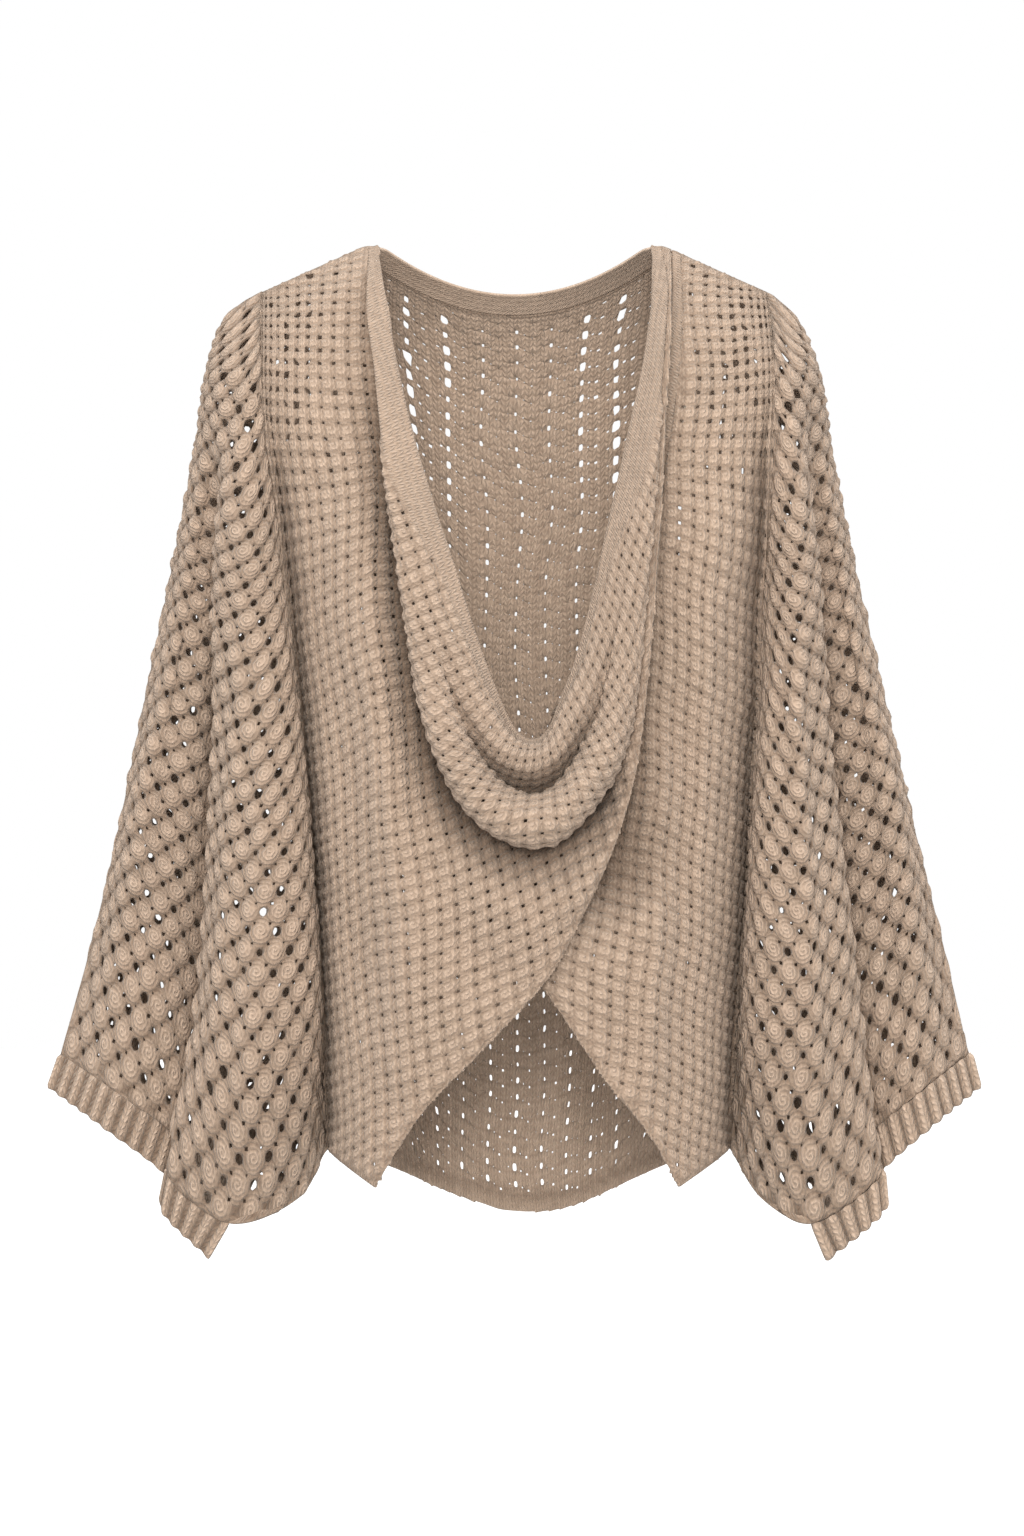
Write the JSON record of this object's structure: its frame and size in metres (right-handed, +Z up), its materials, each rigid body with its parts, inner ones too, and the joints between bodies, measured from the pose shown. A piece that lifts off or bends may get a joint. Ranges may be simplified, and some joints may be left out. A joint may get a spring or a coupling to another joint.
{
  "type": "wrap sweater",
  "caption": "Crossover cardigan in openwork knit, draped cowl neck over a plain back neckband, batwing sleeves ending in ribbed cuffs, worn on a filled-out torso and open inside.",
  "frame": {"origin": "midway between the two neck points, at the height where the shoulders carry the garment", "axes": "+X towards the wearer's left, -Y out of the front, +Z up"},
  "size_m": [0.6312, 0.2681, 0.6867],
  "materials": {
    "lace_knit": "soft brushed openwork knit",
    "plain_knit": "soft plain knit",
    "rib_knit": "soft ribbed knit"
  },
  "bodies": {
    "root": {"front_over": "lace_knit", "front_under": "lace_knit", "back": "lace_knit", "neckband": "plain_knit", "sleeve_right_front": "lace_knit", "sleeve_right_back": "lace_knit", "sleeve_left_front": "lace_knit", "sleeve_left_back": "lace_knit", "cuff_right": "rib_knit", "cuff_left": "rib_knit"}
  },
  "joints": []
}
